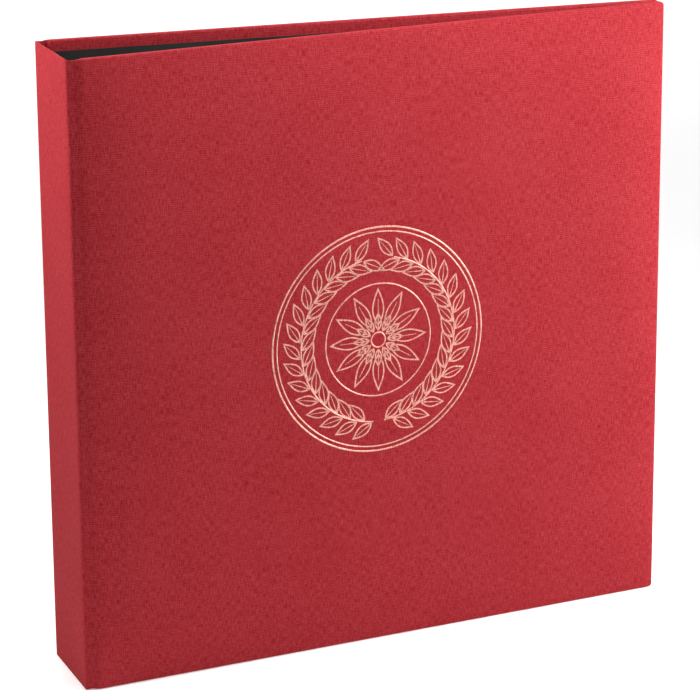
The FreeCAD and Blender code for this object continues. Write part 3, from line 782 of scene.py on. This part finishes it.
def make_hinge_lining(side):
    name = f"{SIDE_NAMES[side]}_hinge_lining_strip"
    bm = bmesh.new()
    levels = np.linspace(LINING_MARGIN, HEIGHT - LINING_MARGIN, 25)
    rows = [[bm.verts.new((x, side * out, z)) for z in levels] for x, out in hinge_lining_path()]
    for first, second in zip(rows, rows[1:]):
        for step in range(len(levels) - 1):
            loop = [first[step], first[step + 1], second[step + 1], second[step]]
            face = bm.faces.new(loop if side > 0 else loop[::-1])
            face.smooth = True
    mesh = bpy.data.meshes.new(name)
    bm.to_mesh(mesh)
    bm.free()
    mesh.materials.append(LINING)
    return thicken(name, mesh, LINING_PAPER)


for side in (FRONT, BACK):
    strip = make_hinge_lining(side)
    bend_on_hinge(strip)
    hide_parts(f"{SIDE_NAMES[side]}_hinge_lining")
    print(strip.name, len(strip.data.polygons), "faces")

# %% [markdown]
# ## Pieces that the frame already shapes
# Boards, linings, the steel base and blades, and the leaves have their true shape in the frame.
# They only change their finish.

# %% Finishes on the frame's pieces
def finish_nodes(finish, names):
    for node in names:
        mesh = frame["nodes"][node].data
        mesh.materials.clear()
        mesh.materials.append(finish)
    print(finish.name, "on", len(names), "pieces")


LEAVES = [f"leaf_{number}" for number in range(1, 5)]
finish_nodes(BOARD, ["front_board", "back_board"])
finish_nodes(LINING, ["spine_lining", "front_lining", "back_lining"])
finish_nodes(STEEL, ["ring_base", "front_blade", "back_blade"])
finish_nodes(CARD, [f"{leaf}_card" for leaf in LEAVES])
finish_nodes(FILM, [f"{leaf}_strips" for leaf in LEAVES])

# %% [markdown]
# The photograph shows almost no thickness at the head of the spine: the cloth turns over a sharp edge
# and slopes down inside. The spine board is therefore a copy of the frame's board whose inner edges at
# head and foot are planed off, and whose long sides are taken back as far as the grooves are deep.

# %% Spine board
def make_spine_board():
    bm = bmesh.new()
    bm.from_mesh(frame["nodes"]["spine_board"].data)
    planes = [((1, 0, 1), (SPINE_FACE + SPINE_ROUND, 0, HEIGHT)), ((1, 0, -1), (SPINE_FACE + SPINE_ROUND, 0, 0))]
    reach = HALF_SPINE - GROOVE_DEPTH * GROOVE_AT_ENDS
    for side in (FRONT, BACK):
        rounding = SPINE_CORNER * (1 - math.sqrt(0.5))
        planes.append(((0, side, 0), (0, side * reach, 0)))
        planes.append(((-1, side, 0), (SPINE_FACE + rounding, side * (reach - rounding), 0)))
    for way, point in planes:
        normal = Vector(way).normalized()
        place = Vector(point) - normal * CLOTH
        parts = bm.verts[:] + bm.edges[:] + bm.faces[:]
        cut = bmesh.ops.bisect_plane(bm, geom=parts, plane_co=place, plane_no=normal, clear_outer=True)
        rim = [part for part in cut["geom_cut"] if isinstance(part, bmesh.types.BMEdge)]
        bmesh.ops.contextual_create(bm, geom=rim)
    mesh = bpy.data.meshes.new("planed_spine_board")
    bm.to_mesh(mesh)
    bm.free()
    mesh.materials.clear()
    mesh.materials.append(BOARD)
    board = bpy.data.objects.new("planed_spine_board", mesh)
    scene.collection.objects.link(board)
    return board


spine_board = make_spine_board()
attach(spine_board, "spine")
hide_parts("spine_board")
print(spine_board.name, len(spine_board.data.polygons), "faces")

# %% [markdown]
# ## Geometry Nodes that repeat a shape
# The half rings, the rivets and the ornaments of the emblem are one shape each, repeated. One small
# node tree does it: it sets the shape on every point of a mesh, makes the copies real and gives them
# their finish. The result is turned into a plain mesh, so nothing is left running.

# %% Node tree helpers
def new_tree(name, inputs):
    """A geometry tree with named inputs, given as pairs of label and socket type."""
    tree = bpy.data.node_groups.new(name, "GeometryNodeTree")
    tree.interface.new_socket("Geometry", in_out="INPUT", socket_type="NodeSocketGeometry")
    for label, kind in inputs:
        tree.interface.new_socket(label, in_out="INPUT", socket_type=f"NodeSocket{kind}")
    tree.interface.new_socket("Geometry", in_out="OUTPUT", socket_type="NodeSocketGeometry")
    return tree, tree.nodes.new("NodeGroupInput").outputs, tree.nodes.new("NodeGroupOutput").inputs


def end_tree(tree, geometry, finish, result):
    """Make copies real, give them their finish and hand them out."""
    real = add_node(tree, "GeometryNodeRealizeInstances")
    coat = add_node(tree, "GeometryNodeSetMaterial")
    feed(tree, real.inputs["Geometry"], geometry)
    feed(tree, coat.inputs["Geometry"], real.outputs["Geometry"])
    feed(tree, coat.inputs["Material"], finish)
    feed(tree, result["Geometry"], coat.outputs["Geometry"])


def run_tree(name, tree, mesh, values):
    """Run a tree on a mesh and keep the result as a plain mesh object."""
    holder = bpy.data.objects.new(f"{name}_holder", mesh)
    scene.collection.objects.link(holder)
    modifier = holder.modifiers.new("nodes", "NODES")
    modifier.node_group = tree
    for item in tree.interface.items_tree:
        if item.in_out == "INPUT" and item.name in values:
            modifier[item.identifier] = values[item.name]
    evaluated = holder.evaluated_get(bpy.context.evaluated_depsgraph_get())
    piece = bpy.data.objects.new(name, bpy.data.meshes.new_from_object(evaluated))
    scene.collection.objects.link(piece)
    bpy.data.objects.remove(holder)
    return piece


def points_mesh(name, points):
    mesh = bpy.data.meshes.new(name)
    mesh.from_pydata([tuple(point) for point in points], [], [])
    return mesh


def shape_object(name, bm):
    """An object that holds a shape for a tree to repeat."""
    mesh = bpy.data.meshes.new(name)
    bm.to_mesh(mesh)
    bm.free()
    shape = bpy.data.objects.new(name, mesh)
    scene.collection.objects.link(shape)
    return shape


def repeat_tree():
    tree, given, result = new_tree("repeat_on_points", [("Shape", "Object"), ("Finish", "Material")])
    shape = add_node(tree, "GeometryNodeObjectInfo")
    feed(tree, shape.inputs["Object"], given["Shape"])
    copies = add_node(tree, "GeometryNodeInstanceOnPoints")
    feed(tree, copies.inputs["Points"], given["Geometry"])
    feed(tree, copies.inputs["Instance"], shape.outputs["Geometry"])
    end_tree(tree, copies.outputs["Instances"], given["Finish"], result)
    return tree


REPEAT = repeat_tree()


def repeat_shape(name, shape, points, finish):
    values = {"Shape": shape, "Finish": finish}
    piece = run_tree(name, REPEAT, points_mesh(name, points), values)
    bpy.data.objects.remove(shape)
    return piece


print("tree:", REPEAT.name)

# %% [markdown]
# ## Half rings
# A half ring is round steel wire bent to an arc, with a straight leg down to its blade. The front
# halves end in a small point and the back halves in a socket for it, which keeps the closed ring from
# gaping. The wire is a tube of rings of points along that line, and the tree sets it at the four
# heights where the frame has its rings.

# %% Half rings
WIRE = 1.3 * MM
RING_TURN = math.radians(127)
TIP_LENGTH = 1.1 * MM
TIP_RADIUS = 0.75 * MM
TIP_GAP = 0.1 * MM
WIRE_SIDES = 20
ARC_STEPS = 36

ring_low, ring_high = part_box("back_half_ring_1")
leaf_turn = joints["leaf_1_turn"]["pos_m"]
RING_X = leaf_turn[0]
RING_RADIUS = ring_high.x - RING_X - WIRE
BLADE_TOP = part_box("back_blade")[1].x


def ring_line(side, gap):
    """Centres, directions and radii of the wire from its tip to the blade."""
    line = []
    for step in range(ARC_STEPS + 1):
        turn = gap / RING_RADIUS + (RING_TURN - gap / RING_RADIUS) * step / ARC_STEPS
        centre = Vector((RING_X + RING_RADIUS * math.cos(turn), side * RING_RADIUS * math.sin(turn), 0))
        line.append((centre, Vector((-math.sin(turn), side * math.cos(turn), 0)), WIRE))
    centre, way, radius = line[-1]
    leg = (centre.x - BLADE_TOP) / -way.x
    line += [(centre + way * leg * share, way, WIRE) for share in (0.5, 1.0)]
    return line


def tip_line(side):
    """The point of a front half or the socket of a back half, from its end to the wire."""
    apex = Vector((RING_X + RING_RADIUS, 0, 0))
    way = Vector((0, side, 0))
    if side == FRONT:
        return [(apex - way * TIP_LENGTH, way, 0.2 * MM), (apex, way, TIP_RADIUS), (apex, way, 0.9 * WIRE)]
    inside = [(apex + way * (TIP_LENGTH + 2 * TIP_GAP), way, 0.25 * MM)]
    inside += [(apex + way * TIP_GAP, way, radius) for radius in (TIP_RADIUS + TIP_GAP, 0.9 * WIRE)]
    return inside


def make_wire(side):
    """A closed tube along the half ring's line."""
    gap = 0.25 * MM
    bm = bmesh.new()
    rows = []
    for centre, way, radius in tip_line(side) + ring_line(side, gap):
        across = way.cross(Vector((0, 0, 1)))
        row = []
        for corner in range(WIRE_SIDES):
            turn = 2 * math.pi * corner / WIRE_SIDES
            row.append(bm.verts.new(centre + (across * math.cos(turn) + Vector((0, 0, math.sin(turn)))) * radius))
        rows.append(row)
    for first, second in zip(rows, rows[1:]):
        for corner in range(WIRE_SIDES):
            after = (corner + 1) % WIRE_SIDES
            face = bm.faces.new((first[corner], first[after], second[after], second[corner]))
            face.smooth = True
    bm.faces.new(rows[0])
    bm.faces.new(rows[-1])
    bmesh.ops.recalc_face_normals(bm, faces=bm.faces)
    return shape_object(f"{SIDE_NAMES[side]}_wire", bm)


for side in (FRONT, BACK):
    nodes = [f"{SIDE_NAMES[side]}_half_ring_{number}" for number in range(1, 5)]
    heights = [sum(corner.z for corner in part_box(node)) / 2 for node in nodes]
    rings = repeat_shape(f"{SIDE_NAMES[side]}_wires", make_wire(side), [(0, 0, z) for z in heights], STEEL)
    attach(rings, f"{SIDE_NAMES[side]}_rings")
    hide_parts(*nodes)
    print(rings.name, "at", [round(z / MM, 1) for z in heights], "mm")

# %% [markdown]
# ## Rivets
# Two rivets hold the steel base on the spine. Their closed heads are low domes, made by turning a
# short profile, and the tree sets one on each rivet tab.

# %% Rivets
RIVET_HEAD = 3.5 * MM
RIVET_SHANK = 1.8 * MM
RIVET_DOME = 1.3 * MM
RIVET_SIDES = 28
RIVET_ROWS = 7


def make_rivet(foot):
    """A flat head in the board, a shank and a domed head, turned about X."""
    rivet_low, rivet_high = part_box("base_rivets")
    seat = rivet_high.x - RIVET_DOME
    profile = [(rivet_low.x, 0), (rivet_low.x, RIVET_HEAD), (rivet_low.x + foot, RIVET_HEAD)]
    profile += [(rivet_low.x + foot, RIVET_SHANK), (seat, RIVET_SHANK), (seat, RIVET_HEAD)]
    for row in range(1, RIVET_ROWS + 1):
        turn = math.pi / 2 * row / RIVET_ROWS
        profile.append((seat + RIVET_DOME * math.sin(turn), RIVET_HEAD * math.cos(turn)))
    bm = bmesh.new()
    points = [bm.verts.new((x, 0, radius)) for x, radius in profile]
    edges = [bm.edges.new(pair) for pair in zip(points, points[1:])]
    bmesh.ops.spin(
        bm, geom=points + edges, cent=(0, 0, 0), axis=(1, 0, 0), angle=2 * math.pi, steps=RIVET_SIDES
    )
    bmesh.ops.remove_doubles(bm, verts=bm.verts, dist=1e-6)
    bmesh.ops.recalc_face_normals(bm, faces=bm.faces)
    for face in bm.faces:
        face.smooth = True
    return shape_object("rivet_shape", bm)


RIVET_SUNK = 0.7 * MM
rivet_low, rivet_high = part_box("base_rivets")
rivet_heights = (rivet_low.z + RIVET_HEAD, rivet_high.z - RIVET_HEAD)
rivets = repeat_shape("rivets", make_rivet(RIVET_SUNK), [(0, 0, z) for z in rivet_heights], STEEL)
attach(rivets, "spine")
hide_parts("base_rivets")
print("rivets at", [round(z / MM, 1) for z in rivet_heights], "mm")

# %% [markdown]
# ## Emblem
# A round ornament is stamped on the front cover in fine copper-coloured lines. This one is a common
# wreath with a rosette, drawn for this album. It is drawn flat, in a frame with its middle at the
# origin, and then laid on the cover. Rims and stems follow a curve and leaves and petals repeat along
# one, so node trees make them: one tree sweeps a flat line along an arc, another sets a leaf at even
# steps along an arc, turned left and right in turn.

# %% Emblem trees
EMBLEM_RADIUS = 45.3 * MM
EMBLEM_U = 122.4 * MM
EMBLEM_Z = 124.0 * MM
FOIL_SHEET = 0.08 * MM
RIM_LINE = 0.7 * MM
THIN_LINE = 0.55 * MM


def line_tree():
    """A flat line along an arc."""
    sizes = [("Radius", "Float"), ("Start", "Float"), ("Sweep", "Float"), ("Width", "Float")]
    tree, given, result = new_tree("foil_line", [*sizes, ("Thickness", "Float"), ("Finish", "Material")])
    arc = add_node(tree, "GeometryNodeCurveArc")
    arc.inputs["Resolution"].default_value = 160
    for socket, label in (("Radius", "Radius"), ("Start Angle", "Start"), ("Sweep Angle", "Sweep")):
        feed(tree, arc.inputs[socket], given[label])
    section = add_node(tree, "GeometryNodeCurvePrimitiveQuadrilateral")
    feed(tree, section.inputs["Width"], given["Width"])
    feed(tree, section.inputs["Height"], given["Thickness"])
    swept = add_node(tree, "GeometryNodeCurveToMesh")
    feed(tree, swept.inputs["Curve"], arc.outputs["Curve"])
    feed(tree, swept.inputs["Profile Curve"], section.outputs["Curve"])
    swept.inputs["Fill Caps"].default_value = True
    end_tree(tree, swept.outputs["Mesh"], given["Finish"], result)
    return tree


def leaf_tree():
    """A shape at even steps along an arc, tilted to one side and the other in turn."""
    sizes = [("Radius", "Float"), ("Start", "Float"), ("Sweep", "Float"), ("Tilt", "Float"), ("Count", "Int")]
    tree, given, result = new_tree("foil_leaves", [("Shape", "Object"), *sizes, ("Finish", "Material")])
    arc = add_node(tree, "GeometryNodeCurveArc")
    arc.inputs["Resolution"].default_value = 160
    for socket, label in (("Radius", "Radius"), ("Start Angle", "Start"), ("Sweep Angle", "Sweep")):
        feed(tree, arc.inputs[socket], given[label])
    steps = add_node(tree, "GeometryNodeCurveToPoints", mode="COUNT")
    feed(tree, steps.inputs["Curve"], arc.outputs["Curve"])
    feed(tree, steps.inputs["Count"], given["Count"])
    along = add_node(tree, "FunctionNodeAlignRotationToVector", axis="X", pivot_axis="Z")
    feed(tree, along.inputs["Vector"], steps.outputs["Tangent"])
    number = add_node(tree, "GeometryNodeInputIndex").outputs["Index"]
    odd = sums(tree, "MODULO", number, 2.0)
    turn = sums(tree, "MULTIPLY", sums(tree, "MULTIPLY_ADD", odd, -2.0, 1.0), given["Tilt"])
    tilt = add_node(tree, "FunctionNodeAxisAngleToRotation")
    tilt.inputs["Axis"].default_value = (0, 0, 1)
    feed(tree, tilt.inputs["Angle"], turn)
    turned = add_node(tree, "FunctionNodeRotateRotation", rotation_space="LOCAL")
    feed(tree, turned.inputs["Rotation"], along.outputs["Rotation"])
    feed(tree, turned.inputs["Rotate By"], tilt.outputs["Rotation"])
    shape = add_node(tree, "GeometryNodeObjectInfo")
    feed(tree, shape.inputs["Object"], given["Shape"])
    copies = add_node(tree, "GeometryNodeInstanceOnPoints")
    feed(tree, copies.inputs["Points"], steps.outputs["Points"])
    feed(tree, copies.inputs["Instance"], shape.outputs["Geometry"])
    feed(tree, copies.inputs["Rotation"], turned.outputs["Rotation"])
    end_tree(tree, copies.outputs["Instances"], given["Finish"], result)
    return tree


LINE_TREE = line_tree()
LEAF_TREE = leaf_tree()
print("trees:", LINE_TREE.name, LEAF_TREE.name)

# %% [markdown]
# A leaf or a petal is an outline with a vein: two pointed bows and a line between them. Its half
# width follows a sine, so a few numbers give a narrow laurel leaf or a broad petal.

# %% Emblem shapes
OUTLINE_STEPS = 14


def leaf_shape(name, start, length, half_width, line, vein):
    """Outline of a leaf along +X from start, with a vein over a share of its length."""
    bm = bmesh.new()

    def ribbon(points):
        """A flat strip between pairs of points."""
        pairs = [(bm.verts.new((*low, 0)), bm.verts.new((*high, 0))) for low, high in points]
        for (low, high), (next_low, next_high) in zip(pairs, pairs[1:]):
            bm.faces.new((low, next_low, next_high, high))

    shares = [step / OUTLINE_STEPS for step in range(OUTLINE_STEPS + 1)]
    for sign in (1, -1):
        points = []
        for share in shares:
            outer = half_width * math.sin(math.pi * share ** 0.85)
            inner = max(0.0, outer - line)
            inset = line * 1.6 * (0.5 - share)
            points.append(((start + share * length + inset, sign * inner), (start + share * length, sign * outer)))
        ribbon(points)
    if vein:
        half_line = line * 0.4
        span = [(start + length * share, half_line * (1.15 - share)) for share in (0.08, vein)]
        ribbon([((x, -half), (x, half)) for x, half in span])
    bmesh.ops.recalc_face_normals(bm, faces=bm.faces)
    for face in bm.faces:
        if face.normal.z < 0:
            face.normal_flip()
    bmesh.ops.solidify(bm, geom=bm.faces[:], thickness=FOIL_SHEET)
    middle = sum(vertex.co.z for vertex in bm.verts) / len(bm.verts)
    bmesh.ops.translate(bm, verts=bm.verts, vec=(0, 0, -middle))
    return shape_object(name, bm)


def foil_line(name, radius, width, start=0.0, sweep=2 * math.pi):
    values = {"Radius": radius, "Start": start, "Sweep": sweep, "Width": width}
    values.update({"Thickness": FOIL_SHEET, "Finish": FOIL})
    return run_tree(name, LINE_TREE, points_mesh(name, []), values)


def foil_leaves(name, shape, radius, start, sweep, tilt, count):
    values = {"Shape": shape, "Radius": radius, "Start": start, "Sweep": sweep}
    values.update({"Tilt": tilt, "Count": count, "Finish": FOIL})
    piece = run_tree(name, LEAF_TREE, points_mesh(name, []), values)
    bpy.data.objects.remove(shape)
    return piece


# %% Emblem on the cover
WREATH_RADIUS = 33 * MM
WREATH_GAP = math.radians(16)
WREATH_LEAVES = 30
ROSETTE_PETALS = 12


def emblem_pieces():
    made = [foil_line("rim_outer", EMBLEM_RADIUS - RIM_LINE / 2, RIM_LINE)]
    made.append(foil_line("rim_inner", EMBLEM_RADIUS - 2.2 * MM, THIN_LINE))
    half_turn = math.pi - WREATH_GAP
    foot = -math.pi / 2
    for number, way in enumerate((1, -1)):
        start = foot + way * WREATH_GAP / 4
        made.append(foil_line(f"stem_{number}", WREATH_RADIUS, THIN_LINE, start, way * half_turn))
        leaf = leaf_shape(f"leaf_{number}", 0.6 * MM, 10.5 * MM, 2.2 * MM, THIN_LINE, 0.8)
        tilt = math.radians(38)
        made.append(
            foil_leaves(f"leaves_{number}", leaf, WREATH_RADIUS, start, way * half_turn, tilt, WREATH_LEAVES)
        )
    for name, radius, start, length, half_width in (
        ("petals_long", 3.0 * MM, 2.5 * MM, 15.5 * MM, 2.6 * MM),
        ("petals_short", 3.0 * MM, 0.6 * MM, 7.5 * MM, 1.6 * MM),
    ):
        petal = leaf_shape(name, start, length, half_width, THIN_LINE, 0.7)
        sweep = 2 * math.pi * (1 - 1 / ROSETTE_PETALS)
        petal.data.transform(Matrix.Rotation(-math.pi / 2, 4, "Z"))
        made.append(foil_leaves(name, petal, radius, 0.0, sweep, 0.0, ROSETTE_PETALS))
    made.append(foil_line("rosette_ring", 3.0 * MM, THIN_LINE))
    made.append(foil_line("rosette_rim", 22.5 * MM, THIN_LINE))
    return made


def lay_on_cover(piece):
    """Turn the flat emblem into the front cover's face and give it the cloth's coordinates."""
    ways = (
        Vector((math.cos(LEAN), math.sin(LEAN), 0)),
        Vector((0, 0, 1)),
        Vector((math.sin(LEAN), -math.cos(LEAN), 0)),
    )
    x, out = cover_plan(EMBLEM_U, COVER_FACE + CROWN + FOIL_SHEET / 2)
    turn = Matrix(ways).transposed().to_4x4()
    layer = piece.data.uv_layers.get("cloth") or piece.data.uv_layers.new(name="cloth")
    flat_u = front_stations[-1].length + RIM - (COVER_END - EMBLEM_U)
    for loop in piece.data.loops:
        place = piece.data.vertices[loop.vertex_index].co
        layer.data[loop.index].uv = (flat_u + place.x, EMBLEM_Z + place.y)
    piece.data.transform(Matrix.Translation((x, -out, EMBLEM_Z)) @ turn)


def make_emblem():
    pieces = emblem_pieces()
    with bpy.context.temp_override(active_object=pieces[0], selected_editable_objects=pieces):
        bpy.ops.object.join()
    emblem = pieces[0]
    emblem.name = "foil_emblem"
    lay_on_cover(emblem)
    return emblem


emblem = make_emblem()
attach(emblem, "front_cover")
print(emblem.name, len(emblem.data.polygons), "faces")

# %% [markdown]
# ## End

# %% End
print("album dressed")
